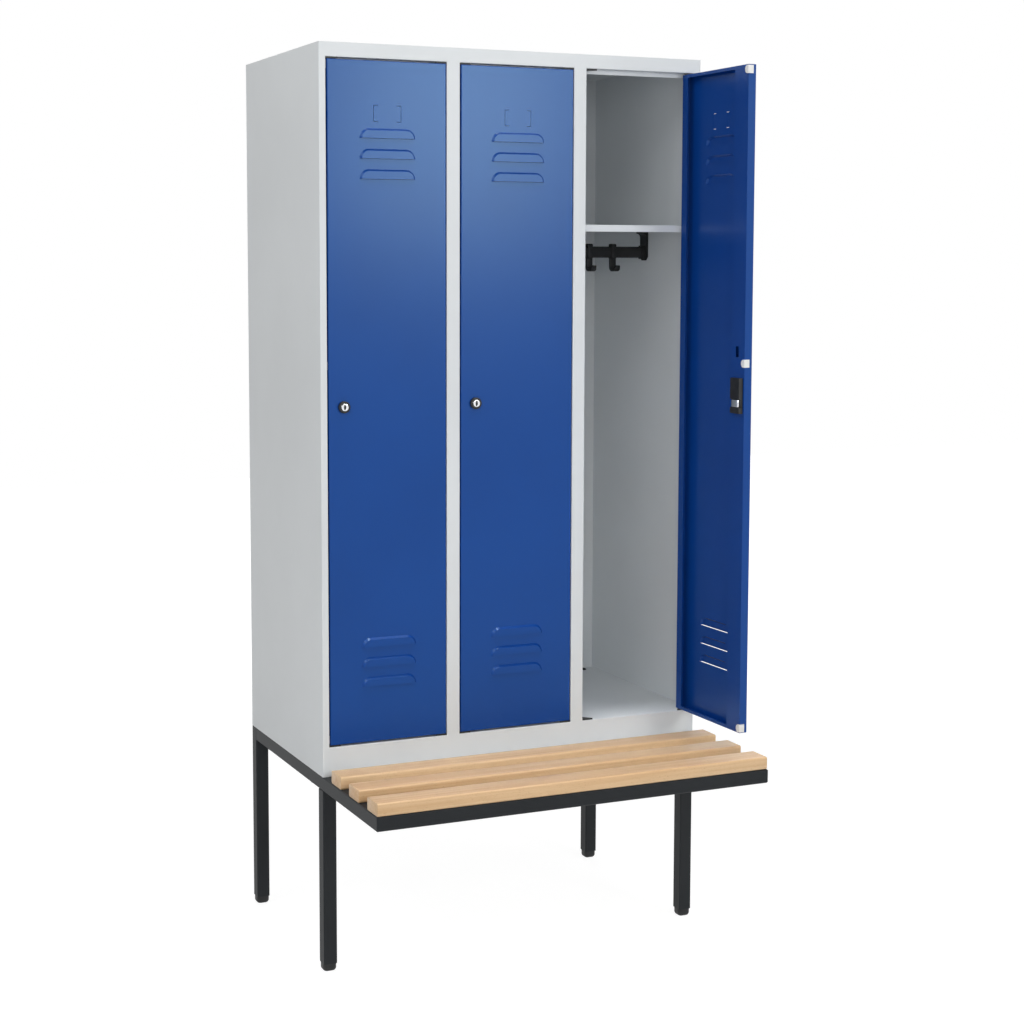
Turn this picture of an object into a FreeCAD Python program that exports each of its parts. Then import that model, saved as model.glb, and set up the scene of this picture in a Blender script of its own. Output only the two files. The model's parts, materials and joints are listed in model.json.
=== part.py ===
import FreeCAD, Part
import math
import os
import re

import Sketcher

# A three-bay steel garment locker on a square-tube underframe that reaches out as a slatted bench.
# The carcass frame has its zero at the left, front, lower corner of the carcass: x right, y back, z up.
# Each door frame has its zero on the pivot axis, with the door drawn closed.

os.makedirs("parts", exist_ok=True)

BAYS = 3
BAY_NAMES = ("left", "middle", "right")
OPEN_BAY = 2
HOOKS_PER_BAY = 3
LOUVRES_PER_GROUP = 3
SLAT_NAMES = ("front", "middle", "rear")
CLOSE_ENOUGH = 1e-4
QUARTER = math.pi / 2

SIZES = {
    # carcass sheet work
    "bay_pitch": 300,
    "carcass_depth": 500,
    "carcass_height": 1533,
    "sheet_gauge": 1,
    "bend_radius": 1.5,
    "outer_stile": 15,
    "stile_margin": 0.5,
    "top_rail": 30,
    "bottom_rail": 63,
    "stop_clearance": 2.5,
    "stop_drop": 9.5,
    "stop_notch": 8,
    "base_flange": 25,
    "back_flange": 12,
    "anchor_diameter": 8,
    "anchor_drop": 120,
    "cut_overrun": 1,
    # door trays and their pivots
    "hinge_gap": 2,
    "lock_gap": 3,
    "end_gap": 4,
    "door_depth": 19,
    "door_gauge": 1,
    "hinge_lip": 22,
    "end_lip": 7,
    "pivot_inset": 8,
    "pivot_setback": 7,
    "ajar_angle": 91,
    "pin_diameter": 6,
    "pin_reach": 7,
    "running_fit": 0.05,
    "bush_leg": 26,
    "bush_boss": 9,
    "bush_play": 0.4,
    "boss_reach": 5,
    # pressed louvres and label slits
    "louvre_width": 124,
    "louvre_height": 20,
    "louvre_pitch": 42,
    "louvre_proud": 5,
    "louvre_band": 4,
    "louvre_top_drop": 163,
    "louvre_foot_rise": 124,
    "label_width": 62,
    "label_height": 34,
    "label_arm": 10,
    "label_slit": 0.8,
    "label_drop": 95,
    # lock
    "lock_inset": 33,
    "collar_diameter": 25,
    "collar_proud": 5,
    "plug_face": 17.5,
    "barrel_width": 20,
    "barrel_cut": 5,
    "keyway_width": 2,
    "keyway_height": 9,
    "keyway_depth": 2,
    "case_lead": 28,
    "case_trail": 18,
    "case_drop": 21.5,
    "case_height": 76,
    "case_depth": 12,
    "case_floor": 2,
    "bolt_throw": 16,
    "bolt_lead": 23.5,
    "bolt_height": 16,
    "bolt_shoulder": 2,
    "bolt_base": 3,
    "crank_pin": 4,
    "crank_gauge": 2.5,
    "crank_rim": 1.2,
    "slide_play": 0.2,
    "slot_play": 0.5,
    "fork_wall": 3,
    # stiffener and bumpers on the lock side of a door
    "stiffener_width": 52,
    "stiffener_foot": 12,
    "slot_height": 23,
    "slot_width": 12,
    "slot_rise": 110,
    "slot_inset": 29,
    "bumper_wing": 13,
    "bumper_gauge": 1.8,
    "bumper_height": 17,
    "bumper_rise": 86,
    "bumper_margin": 2,
    # hat shelf, coat rail and hooks
    "hat_height": 336,
    "shelf_lip": 15,
    "shelf_setback": 23,
    "rail_height": 26,
    "rail_depth": 12,
    "rail_drop": 45,
    "rail_setback": 243,
    "rail_bevel": 3,
    "bracket_width": 32,
    "bracket_gauge": 4,
    "bracket_tail": 6,
    "bracket_cut": 8,
    "bracket_toe": 10,
    "bracket_lip": 13,
    "bracket_fillet": 9.5,
    "socket_wall": 2.5,
    "socket_reach": 8,
    "socket_play": 0.1,
    "hook_spacing": 62,
    "hook_width": 16,
    "hook_wall": 2.5,
    "hook_play": 0.3,
    "hook_wire": 8,
    "hook_bend": 16,
    "hook_neck": 9,
    # underframe, feet and bench
    "frame_height": 425,
    "tube_size": 30,
    "tube_wall": 2,
    "tube_bevel": 2,
    "bench_reach": 315,
    "foot_height": 17,
    "foot_bevel": 5,
    "foot_plug": 20,
    "foot_play": 0.1,
    "slat_width": 58,
    "slat_gap": 47,
    "slat_thickness": 27,
    "slat_inset": 2,
    "slat_round": 4,
}

# Places that several pieces share, in the words of the sizes above.
WIDTH = f"({BAYS} * bay_pitch)"
CARCASS = (f"-{WIDTH} / 2", "(bench_reach - carcass_depth) / 2", "frame_height")
OPENING_TOP = "(carcass_height - top_rail)"
INNER_BACK = "(carcass_depth - 2 * sheet_gauge)"
STOP_FRONT = "(door_depth + stop_clearance)"
STILE_DEPTH = f"({STOP_FRONT} + sheet_gauge + stile_margin)"
RAIL_END = "(outer_stile - bend_radius)"
RAIL_SPAN = f"({WIDTH} - 2 * {RAIL_END})"
DOOR_WIDTH = "(bay_pitch - 2 * outer_stile - hinge_gap - lock_gap)"
DOOR_LEFT = f"(pivot_inset - {DOOR_WIDTH})"
DOOR_RIGHT = "pivot_inset"
DOOR_FRONT = "(-pivot_setback)"
DOOR_BACK = "(door_depth - pivot_setback)"
DOOR_FOOT = "(bottom_rail + end_gap)"
DOOR_HEAD = f"({OPENING_TOP} - end_gap)"
LOCK_X = f"({DOOR_LEFT} + lock_inset)"
LOCK_Z = f"((bottom_rail + {OPENING_TOP}) / 2)"
CRANK_ARM = "(bolt_throw / sqrt(2))"
BOLT_FRONT = f"({DOOR_BACK} + case_floor + crank_gauge + 2 * slide_play)"
CASE_BACK = f"({DOOR_BACK} + case_depth)"
HALF_SLOT = "(crank_pin / 2 + slot_play)"
FORK_FOOT = f"({LOCK_Z} - {CRANK_ARM} - crank_pin / 2)"
SHELF_TOP = f"({OPENING_TOP} - hat_height)"
RAIL_TOP = f"({SHELF_TOP} - rail_drop)"
RAIL_FOOT = f"({RAIL_TOP} - rail_height)"
SLAT_PITCH = f"((bench_reach - slat_gap - slat_width) / {len(SLAT_NAMES) - 1})"
SIDE_RAIL_END = "(carcass_depth - tube_size)"
LEG_FOOT = "(foot_height - frame_height)"

doc = FreeCAD.newDocument("bench_locker")
sheet = doc.addObject("Spreadsheet::Sheet", "sizes")
for row, (alias, value) in enumerate(SIZES.items(), 1):
    sheet.set(f"A{row}", alias)
    sheet.set(f"B{row}", str(value))
    sheet.setAlias(f"B{row}", alias)
doc.recompute()

subparts = []


def tied(text):
    return re.sub(r"[a-z][a-z_]+", lambda word: "sizes." + word[0] if word[0] in SIZES else word[0], text)


def number(text):
    return float(sheet.evalExpression(tied(text)))


def bind(thing, target, text):
    thing.setExpression(target, tied(text))


def place(thing, base, angle=None):
    for axis, text in zip("xyz", base):
        bind(thing, f"Placement.Base.{axis}", text)
    if angle:
        bind(thing, "Placement.Rotation.Angle", angle)


def keep(thing, label):
    thing.Label = label
    subparts.append(thing)
    return thing


def new_body(name, base, angle=None):
    body = doc.addObject("PartDesign::Body", name)
    place(body, base, angle)
    return body


def origin_part(body, role):
    return next(part for part in body.Origin.OriginFeatures if part.Role == role)


def new_sketch(body, plane, at="0"):
    sketch = body.newObject("Sketcher::SketchObject", f"{body.Name}_outline")
    sketch.AttachmentSupport = [(origin_part(body, plane + "_Plane"), "")]
    sketch.MapMode = "FlatFace"
    bind(sketch, "AttachmentOffset.Base.z", f"-({at})" if plane == "XZ" else at)
    return sketch


def tie_point(sketch, line, end, x, y):
    for kind, axis, text in (("DistanceX", -2, x), ("DistanceY", -1, y)):
        if text == "0":
            sketch.addConstraint(Sketcher.Constraint("PointOnObject", line, end, axis))
            continue
        index = sketch.addConstraint(Sketcher.Constraint(kind, -1, 1, line, end, number(text)))
        bind(sketch, f"Constraints[{index}]", text)


def moved(text, step, radius):
    return text if abs(step) < CLOSE_ENOUGH else f"({text} {'+' if step > 0 else '-'} {radius})"


def polygon(sketch, corners, rounded=True):
    # Straight sides between corners. A corner with a third entry is rounded by that radius, or cut off
    # at that length, which suits corners whose two sides run along the sketch axes.
    spots = [FreeCAD.Vector(number(corner[0]), number(corner[1]), 0) for corner in corners]
    stations = []
    for index, corner in enumerate(corners):
        if len(corner) == 2:
            stations.append([corner])
            continue
        x, y, radius = corner
        before = spots[index - 1] - spots[index]
        after = spots[(index + 1) % len(spots)] - spots[index]
        stations.append([(moved(x, before.x, radius), moved(y, before.y, radius)),
                         (moved(x, after.x, radius), moved(y, after.y, radius))])
    if not rounded:
        stations = [[station] for pair in stations for station in pair]
    lines = []
    for index, station in enumerate(stations):
        ends = (station[-1], stations[(index + 1) % len(stations)][0])
        points = [FreeCAD.Vector(number(x), number(y), 0) for x, y in ends]
        line = sketch.addGeometry(Part.LineSegment(*points))
        lines.append(line)
        tie_point(sketch, line, 1, *ends[0])
        if len(stations[(index + 1) % len(stations)]) == 2:
            tie_point(sketch, line, 2, *ends[1])
    for index, line in enumerate(lines):
        before = lines[index - 1]
        if len(stations[index]) == 1:
            sketch.addConstraint(Sketcher.Constraint("Coincident", before, 2, line, 1))
            continue
        round_corner(sketch, before, line, spots[index], corners[index][2])
    return sketch


def round_corner(sketch, before, after, corner, size):
    radius = number(size)
    entry = sketch.getPoint(before, 2)
    leave = sketch.getPoint(after, 1)
    middle = entry + leave - corner
    angles = sorted(math.atan2(point.y - middle.y, point.x - middle.x) for point in (entry, leave))
    first, last = angles
    if last - first > math.pi:
        first, last = last, first + 2 * math.pi
    ring = Part.Circle(middle, FreeCAD.Vector(0, 0, 1), radius)
    curve = sketch.addGeometry(Part.ArcOfCircle(ring, first, last))
    begins_at_entry = (sketch.getPoint(curve, 1) - entry).Length < CLOSE_ENOUGH
    for line, end, at_entry in ((before, 2, True), (after, 1, False)):
        arc_end = 1 if begins_at_entry == at_entry else 2
        sketch.addConstraint(Sketcher.Constraint("Coincident", line, end, curve, arc_end))
    index = sketch.addConstraint(Sketcher.Constraint("Radius", curve, radius))
    bind(sketch, f"Constraints[{index}]", size)


def rectangle(sketch, left, low, right, high, *radius, rounded=True):
    corners = ((left, low), (right, low), (right, high), (left, high))
    return polygon(sketch, [(x, y, *radius) for x, y in corners], rounded)


def square(sketch, x, y, side):
    half = f"{side} / 2"
    return rectangle(sketch, f"{x} - {half}", f"{y} - {half}", f"{x} + {half}", f"{y} + {half}")


def circle(sketch, x, y, diameter):
    middle = FreeCAD.Vector(number(x), number(y), 0)
    upward = FreeCAD.Vector(0, 0, 1)
    index = sketch.addGeometry(Part.Circle(middle, upward, number(diameter) / 2))
    tie_point(sketch, index, 3, x, y)
    size = sketch.addConstraint(Sketcher.Constraint("Diameter", index, number(diameter)))
    bind(sketch, f"Constraints[{size}]", diameter)
    return sketch


def half_stadium(sketch, x, low, width, height):
    # A straight foot, a straight head and a quarter round of the full height at each end.
    left = FreeCAD.Vector(number(f"{x} - {width} / 2 + {height}"), number(low), 0)
    right = FreeCAD.Vector(number(f"{x} + {width} / 2 - {height}"), number(low), 0)
    radius = number(height)
    rise = FreeCAD.Vector(0, radius, 0)
    reach = FreeCAD.Vector(radius, 0, 0)
    upward = FreeCAD.Vector(0, 0, 1)
    foot = sketch.addGeometry(Part.LineSegment(left - reach, right + reach))
    right_arc = sketch.addGeometry(Part.ArcOfCircle(Part.Circle(right, upward, radius), 0, QUARTER))
    head = sketch.addGeometry(Part.LineSegment(right + rise, left + rise))
    left_arc = sketch.addGeometry(Part.ArcOfCircle(Part.Circle(left, upward, radius), QUARTER, 2 * QUARTER))
    joins = ((foot, right_arc), (right_arc, head), (head, left_arc), (left_arc, foot))
    for before, after in joins:
        sketch.addConstraint(Sketcher.Constraint("Coincident", before, 2, after, 1))
    tie_point(sketch, right_arc, 3, f"({x} + {width} / 2 - {height})", low)
    tie_point(sketch, left_arc, 3, f"({x} - {width} / 2 + {height})", low)
    sketch.addConstraint(Sketcher.Constraint("Horizontal", foot))
    sketch.addConstraint(Sketcher.Constraint("Vertical", left_arc, 3, left_arc, 1))
    sketch.addConstraint(Sketcher.Constraint("PointOnObject", right_arc, 3, foot))
    sketch.addConstraint(Sketcher.Constraint("Vertical", right_arc, 3, right_arc, 2))
    size = sketch.addConstraint(Sketcher.Constraint("Radius", right_arc, radius))
    bind(sketch, f"Constraints[{size}]", height)
    sketch.addConstraint(Sketcher.Constraint("Equal", right_arc, left_arc))
    return sketch


def hood_lining(sketch, x, low, width, height):
    # The same outline with two straight sides in place of each quarter round.
    knee = f"{height} * sqrt(1 / 2)"
    left = f"{x} - {width} / 2"
    right = f"{x} + {width} / 2"
    return polygon(sketch, [
        (left, low), (right, low),
        (f"{right} - {height} + {knee}", f"{low} + {knee}"), (f"{right} - {height}", f"{low} + {height}"),
        (f"{left} + {height}", f"{low} + {height}"), (f"{left} + {height} - {knee}", f"{low} + {knee}"),
    ])


def backwards(sketch):
    return sketch.AttachmentSupport[0][0].Role == "XZ_Plane"


def pad(body, sketch, length, toward=1):
    feature = body.newObject("PartDesign::Pad", f"{body.Name}_pad")
    feature.Profile = sketch
    bind(feature, "Length", length)
    feature.Reversed = (toward > 0) == backwards(sketch)
    return feature


def pocket(body, sketch, length, toward=1):
    feature = body.newObject("PartDesign::Pocket", f"{body.Name}_cut")
    feature.Profile = sketch
    bind(feature, "Length", length)
    feature.Reversed = (toward > 0) != backwards(sketch)
    return feature


def loft(body, kind, near, far):
    feature = body.newObject(f"PartDesign::{kind}", f"{body.Name}_loft")
    feature.Profile = near
    feature.Sections = [far]
    feature.Ruled = True
    return feature


def row_of(body, features, axis, spacing, count):
    pattern = body.newObject("PartDesign::LinearPattern", f"{body.Name}_row")
    pattern.Originals = features
    pattern.Direction = (origin_part(body, axis + "_Axis"), [""])
    bind(pattern, "Length", f"{spacing} * {count - 1}")
    pattern.Occurrences = count
    body.Tip = pattern
    return pattern


def edges_along(shape, axis, spots):
    # Straight edges along one axis, found by their two other coordinates.
    others = [other for other in "xyz" if other != axis]
    wanted = [tuple(number(text) for text in spot) for spot in spots]
    names = []
    for index, edge in enumerate(shape.Edges, 1):
        ends = [vertex.Point for vertex in edge.Vertexes]
        if len(ends) != 2 or edge.Curve.TypeId != "Part::GeomLine":
            continue
        for spot in wanted:
            offsets = [abs(getattr(end, name) - at) for end in ends for name, at in zip(others, spot)]
            if max(offsets) < CLOSE_ENOUGH:
                names.append(f"Edge{index}")
                break
    return names


def ease_edges(body, kind, measure, size, picks):
    doc.recompute()
    base = body.Tip
    names = [name for axis, spots in picks for name in edges_along(base.Shape, axis, spots)]
    feature = body.newObject(f"PartDesign::{kind}", f"{body.Name}_edge")
    feature.Base = (base, names)
    bind(feature, measure, size)
    return feature


def round_edges(body, radius, picks):
    return ease_edges(body, "Fillet", "Radius", radius, picks)


def cut_edges(body, length, picks):
    return ease_edges(body, "Chamfer", "Size", length, picks)


def group(label, members):
    compound = doc.addObject("Part::Compound", label)
    compound.Links = members
    return keep(compound, label)


def from_left(text):
    return text


def from_right(text):
    return f"({WIDTH} - ({text}))"


def bay_walls(bay):
    left = "sheet_gauge" if bay == 0 else f"({bay} * bay_pitch + sheet_gauge / 2)"
    right = f"({WIDTH} - sheet_gauge)" if bay == BAYS - 1 else f"({bay + 1} * bay_pitch - sheet_gauge / 2)"
    return left, right


def pivot_spots():
    inset = "(outer_stile + hinge_gap + pivot_inset)"
    for bay in range(BAYS):
        yield bay, 1, f"({bay} * bay_pitch + {inset})"
        yield bay, -1, f"({bay + 1} * bay_pitch - {inset})"


# Carcass

def side_panel(label, across):
    # Web, front stile and back flange in one fold, with the stile turned in only beside the door opening.
    body = new_body(label, CARCASS)
    web = [
        (across("sheet_gauge"), "sheet_gauge"),
        (across("sheet_gauge"), "carcass_depth - sheet_gauge"),
        (across("back_flange"), "carcass_depth - sheet_gauge"),
        (across("back_flange"), "carcass_depth"),
        (across("0"), "carcass_depth", "bend_radius"),
        (across("0"), "0", "bend_radius"),
    ]
    turned_in = [
        (across("outer_stile"), "0", "bend_radius"),
        (across("outer_stile"), STILE_DEPTH),
        (across("outer_stile - sheet_gauge"), STILE_DEPTH),
        (across("outer_stile - sheet_gauge"), "sheet_gauge"),
    ]
    cut_off = [(across(RAIL_END), "0"), (across(RAIL_END), "sheet_gauge")]
    storeys = (
        (cut_off, "0", "bottom_rail"),
        (turned_in, "bottom_rail", OPENING_TOP),
        (cut_off, OPENING_TOP, "carcass_height - sheet_gauge"),
    )
    for front, low, high in storeys:
        section = polygon(new_sketch(body, "XY", low), front + web)
        pad(body, section, f"{high} - {low}")
    flange = new_sketch(body, "XY")
    rectangle(flange, across("sheet_gauge / 2"), "base_flange + bend_radius",
              across("base_flange"), f"{INNER_BACK} - bend_radius")
    pad(body, flange, "sheet_gauge")
    return keep(body, label)


def back_panel():
    body = new_body("back_panel", CARCASS)
    blank = new_sketch(body, "XZ", INNER_BACK)
    rectangle(blank, "sheet_gauge", "0", f"{WIDTH} - sheet_gauge", "carcass_height - sheet_gauge")
    pad(body, blank, "sheet_gauge")
    anchors = new_sketch(body, "XZ", INNER_BACK)
    for across in (from_left, from_right):
        circle(anchors, across("bay_pitch / 2"), "carcass_height - anchor_drop", "anchor_diameter")
    pocket(body, anchors, "sheet_gauge + cut_overrun")
    return keep(body, "back_panel")


def boss_holes(body, height, toward):
    holes = new_sketch(body, "XY", height)
    for _, _, spot in pivot_spots():
        square(holes, spot, "pivot_setback", "bush_boss")
    pocket(body, holes, "sheet_gauge + cut_overrun", toward)


def stile_notches(body, edge, toward):
    # Each box stile runs past the bend of the rail that it meets.
    notches = new_sketch(body, "XY", edge)
    for line in range(1, BAYS):
        rectangle(notches, f"{line} * bay_pitch - outer_stile", "0", f"{line} * bay_pitch + outer_stile",
                  STILE_DEPTH)
    pocket(body, notches, "bend_radius", toward)


def top_panel():
    body = new_body("top_panel", CARCASS)
    roof = new_sketch(body, "XY", "carcass_height - sheet_gauge")
    rectangle(roof, "0", "0", WIDTH, "carcass_depth")
    pad(body, roof, "sheet_gauge")
    rail = new_sketch(body, "YZ", RAIL_END)
    polygon(rail, [
        ("0", "carcass_height - sheet_gauge"),
        ("0", OPENING_TOP, "bend_radius"),
        (f"{STOP_FRONT} + sheet_gauge", OPENING_TOP),
        (f"{STOP_FRONT} + sheet_gauge", f"{OPENING_TOP} + sheet_gauge"),
        ("sheet_gauge", f"{OPENING_TOP} + sheet_gauge"),
        ("sheet_gauge", "carcass_height - sheet_gauge"),
    ])
    pad(body, rail, RAIL_SPAN)
    stile_notches(body, OPENING_TOP, 1)
    stops = new_sketch(body, "XZ", STOP_FRONT)
    low = f"({OPENING_TOP} - stop_drop)"
    ledge = f"({OPENING_TOP} - end_gap)"
    for bay in range(BAYS):
        # Upper corners are notched round the bushes.
        left = f"({bay} * bay_pitch + outer_stile)"
        right = f"({bay + 1} * bay_pitch - outer_stile)"
        polygon(stops, [
            (left, low), (right, low), (right, ledge), (f"{right} - stop_notch", ledge),
            (f"{right} - stop_notch", OPENING_TOP), (f"{left} + stop_notch", OPENING_TOP),
            (f"{left} + stop_notch", ledge), (left, ledge),
        ])
    pad(body, stops, "sheet_gauge")
    boss_holes(body, OPENING_TOP, 1)
    return keep(body, "top_panel")


def floor_panel():
    body = new_body("floor_panel", CARCASS)
    section = new_sketch(body, "YZ", RAIL_END)
    polygon(section, [
        ("0", "0", "bend_radius"),
        ("base_flange", "0"),
        ("base_flange", "sheet_gauge"),
        ("sheet_gauge", "sheet_gauge"),
        ("sheet_gauge", "bottom_rail - sheet_gauge"),
        (INNER_BACK, "bottom_rail - sheet_gauge"),
        (INNER_BACK, "bottom_rail"),
        ("0", "bottom_rail", "bend_radius"),
    ])
    pad(body, section, RAIL_SPAN)
    stile_notches(body, "bottom_rail", -1)
    wings = new_sketch(body, "XY", "bottom_rail - sheet_gauge")
    rectangle(wings, "sheet_gauge", STILE_DEPTH, f"{WIDTH} - sheet_gauge", INNER_BACK)
    pad(body, wings, "sheet_gauge")
    boss_holes(body, "bottom_rail", -1)
    return keep(body, "floor_panel")


def partition(label, line):
    # The front edge is folded round into the box stile between two doors.
    body = new_body(label, CARCASS)
    centre = f"({line} * bay_pitch)"
    near = f"({centre} - outer_stile)"
    far = f"({centre} + outer_stile)"
    stile = new_sketch(body, "XY", "bottom_rail - bend_radius")
    polygon(stile, [(near, STILE_DEPTH), (near, "0", "bend_radius"),
                    (far, "0", "bend_radius"), (far, STILE_DEPTH)])
    rectangle(stile, f"{near} + sheet_gauge", "sheet_gauge",
              f"{far} - sheet_gauge", f"{STILE_DEPTH} - sheet_gauge")
    pad(body, stile, f"{OPENING_TOP} - bottom_rail + 2 * bend_radius")
    web = new_sketch(body, "XY", "bottom_rail")
    rectangle(web, f"{centre} - sheet_gauge / 2", f"{STILE_DEPTH} - sheet_gauge / 2",
              f"{centre} + sheet_gauge / 2", INNER_BACK)
    pad(body, web, "carcass_height - sheet_gauge - bottom_rail")
    return keep(body, label)


def corner_bushes():
    # A plate in each corner of an opening, held by a square boss. On the hinge side a pin turns in it.
    members = []
    for _, side, spot in pivot_spots():
        corner = f"({spot} - {side} * (hinge_gap + pivot_inset))"
        for height, toward in ((OPENING_TOP, -1), ("bottom_rail", 1)):
            body = new_body("corner_bush", CARCASS)
            plate = new_sketch(body, "XY", height)
            polygon(plate, [
                (corner, "bend_radius"),
                (f"{corner} + {side} * bush_leg", "bend_radius"),
                (corner, "bend_radius + bush_leg"),
            ])
            pad(body, plate, "end_gap - bush_play", toward)
            boss = new_sketch(body, "XY", height)
            square(boss, spot, "pivot_setback", "bush_boss")
            pad(body, boss, "boss_reach", -toward)
            if side < 0:
                bore = new_sketch(body, "XY", f"{height} - {toward} * boss_reach")
                circle(bore, spot, "pivot_setback", "pin_diameter + 2 * running_fit")
                pocket(body, bore, "boss_reach + end_gap", toward)
            members.append(body)
    group("corner_bushes", members)


def hat_shelf(bay):
    label = f"hat_shelf_{BAY_NAMES[bay]}"
    left, right = bay_walls(bay)
    body = new_body(label, CARCASS)
    blank = new_sketch(body, "XY", SHELF_TOP)
    rectangle(blank, left, "shelf_setback", right, INNER_BACK)
    pad(body, blank, "shelf_lip", -1)
    hollow = new_sketch(body, "XY", f"{SHELF_TOP} - shelf_lip")
    rectangle(hollow, f"{left} + sheet_gauge", "shelf_setback + sheet_gauge",
              f"{right} - sheet_gauge", f"{INNER_BACK} + cut_overrun")
    pocket(body, hollow, "shelf_lip - sheet_gauge", 1)
    round_edges(body, "bend_radius", [("x", [("shelf_setback", SHELF_TOP)])])
    return keep(body, label)


# Coat rails, their brackets and the hooks that slide on them

def bar_outline(sketch, margin, *bevel):
    rectangle(sketch, f"rail_setback - rail_depth / 2 - {margin}", f"{RAIL_FOOT} - {margin}",
              f"rail_setback + rail_depth / 2 + {margin}", f"{RAIL_TOP} + {margin}", *bevel, rounded=False)


def coat_rails():
    members = []
    for bay in range(BAYS):
        left, right = bay_walls(bay)
        body = new_body("coat_bar", CARCASS)
        start = f"({left} + sheet_gauge + bracket_gauge)"
        section = new_sketch(body, "YZ", start)
        bar_outline(section, "0", "rail_bevel")
        pad(body, section, f"{right} - sheet_gauge - bracket_gauge - {start}")
        members.append(body)
    group("coat_rails", members)


def rail_brackets():
    # A wall plate that hangs from the shelf by a filleted toe and carries a socket for the bar.
    members = []
    under = f"({SHELF_TOP} - sheet_gauge)"
    near = "(rail_setback - bracket_width / 2)"
    far = "(rail_setback + bracket_width / 2)"
    tail = f"({RAIL_FOOT} - bracket_tail)"
    toe_foot = f"({under} - bracket_lip - bracket_toe)"
    for bay in range(BAYS):
        for wall, toward in zip(bay_walls(bay), (1, -1)):
            body = new_body("rail_bracket", CARCASS)
            seat = f"({wall} + {toward} * sheet_gauge)"
            face = f"({seat} + {toward} * bracket_gauge)"
            plate = new_sketch(body, "YZ", seat)
            polygon(plate, [
                (near, tail, "bracket_cut"), (far, tail, "bracket_cut"), (far, under), (near, under),
            ], rounded=False)
            pad(body, plate, "bracket_gauge", toward)
            toe = f"({face} + {toward} * bracket_toe)"
            head = new_sketch(body, "XZ", near)
            polygon(head, [
                (seat, under),
                (toe, under),
                (toe, f"{under} - bracket_lip"),
                (face, f"{under} - bracket_lip", "bracket_fillet"),
                (face, toe_foot),
                (seat, toe_foot),
            ])
            pad(body, head, "bracket_width")
            socket = new_sketch(body, "YZ", face)
            for margin in ("(socket_wall + socket_play)", "socket_play"):
                bar_outline(socket, margin)
            pad(body, socket, "socket_reach", toward)
            members.append(body)
    group("rail_brackets", members)


def coat_hook(bay, seat):
    # A band round the bar, and below it a crook that turns up towards the door.
    label = f"coat_hook_{BAY_NAMES[bay]}_{seat + 1}"
    centre = f"({bay} * bay_pitch + bay_pitch / 2 + {seat - HOOKS_PER_BAY // 2} * hook_spacing)"
    body = new_body(label, CARCASS)
    band = new_sketch(body, "YZ", f"{centre} - hook_width / 2")
    for margin in ("(hook_play + hook_wall)", "hook_play"):
        bar_outline(band, margin)
    pad(body, band, "hook_width")
    back = "(rail_setback + hook_wire / 2)"
    front = "(rail_setback - 2 * hook_bend - hook_wire / 2)"
    head = f"({RAIL_FOOT} - hook_play - hook_wall / 2)"
    tip = f"({RAIL_FOOT} - hook_play - hook_wall - hook_neck)"
    foot = f"({tip} - hook_bend - hook_wire / 2)"
    crook = new_sketch(body, "YZ", f"{centre} - hook_wire / 2")
    polygon(crook, [
        (back, head),
        (f"{back} - hook_wire", head),
        (f"{back} - hook_wire", f"{foot} + hook_wire", "(hook_bend - hook_wire)"),
        (f"{front} + hook_wire", f"{foot} + hook_wire", "(hook_bend - hook_wire)"),
        (f"{front} + hook_wire", tip),
        (front, tip),
        (front, foot, "hook_bend"),
        (back, foot, "hook_bend"),
    ], rounded=False)
    pad(body, crook, "hook_wire")
    return keep(body, label)


# Doors and their locks

def door_base(bay):
    across, deep, up = CARCASS
    pivot = f"({across} + {bay + 1} * bay_pitch - outer_stile - hinge_gap - pivot_inset)"
    return (pivot, f"{deep} + pivot_setback", up), "ajar_angle" if bay == OPEN_BAY else None


def louvre_group(body, foot):
    middle = f"(({DOOR_LEFT} + {DOOR_RIGHT}) / 2)"
    face = f"({DOOR_FRONT} - louvre_proud)"
    near = half_stadium(new_sketch(body, "XZ", DOOR_FRONT), middle, foot, "louvre_width", "louvre_height")
    far = half_stadium(new_sketch(body, "XZ", face), middle, foot,
                       "(louvre_width - 2 * louvre_band)", "(louvre_height - louvre_band)")
    hood = loft(body, "AdditiveLoft", near, far)
    mouth = hood_lining(new_sketch(body, "XZ", f"{DOOR_FRONT} + door_gauge"), middle, foot,
                        "(louvre_width - 2 * door_gauge)", "(louvre_height - door_gauge)")
    roof = hood_lining(new_sketch(body, "XZ", f"{face} + door_gauge"), middle, foot,
                       "(louvre_width - 2 * louvre_band - 2 * door_gauge)",
                       "(louvre_height - louvre_band - door_gauge)")
    hollow = loft(body, "SubtractiveLoft", mouth, roof)
    row_of(body, [hood, hollow], "Z", "louvre_pitch", LOUVRES_PER_GROUP)


def label_slits(sketch):
    # Two facing square brackets that hold a name card by its ends.
    head = f"({OPENING_TOP} - label_drop)"
    foot = f"({head} - label_height)"
    middle = f"({DOOR_LEFT} + {DOOR_RIGHT}) / 2"
    for side in "-+":
        edge = f"({middle} {side} label_width / 2)"
        inward = "-" if side == "+" else "+"
        arm = f"{edge} {inward} label_arm"
        stem = f"{edge} {inward} label_slit"
        polygon(sketch, [
            (edge, foot), (arm, foot), (arm, f"{foot} + label_slit"), (stem, f"{foot} + label_slit"),
            (stem, f"{head} - label_slit"), (arm, f"{head} - label_slit"), (arm, head), (edge, head),
        ])


def barrel_outline(sketch):
    # Eight flats, which keep the barrel from turning in the door.
    half = "barrel_width / 2"
    return rectangle(sketch, f"({LOCK_X} - {half})", f"({LOCK_Z} - {half})",
                     f"({LOCK_X} + {half})", f"({LOCK_Z} + {half})", "barrel_cut", rounded=False)


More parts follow.
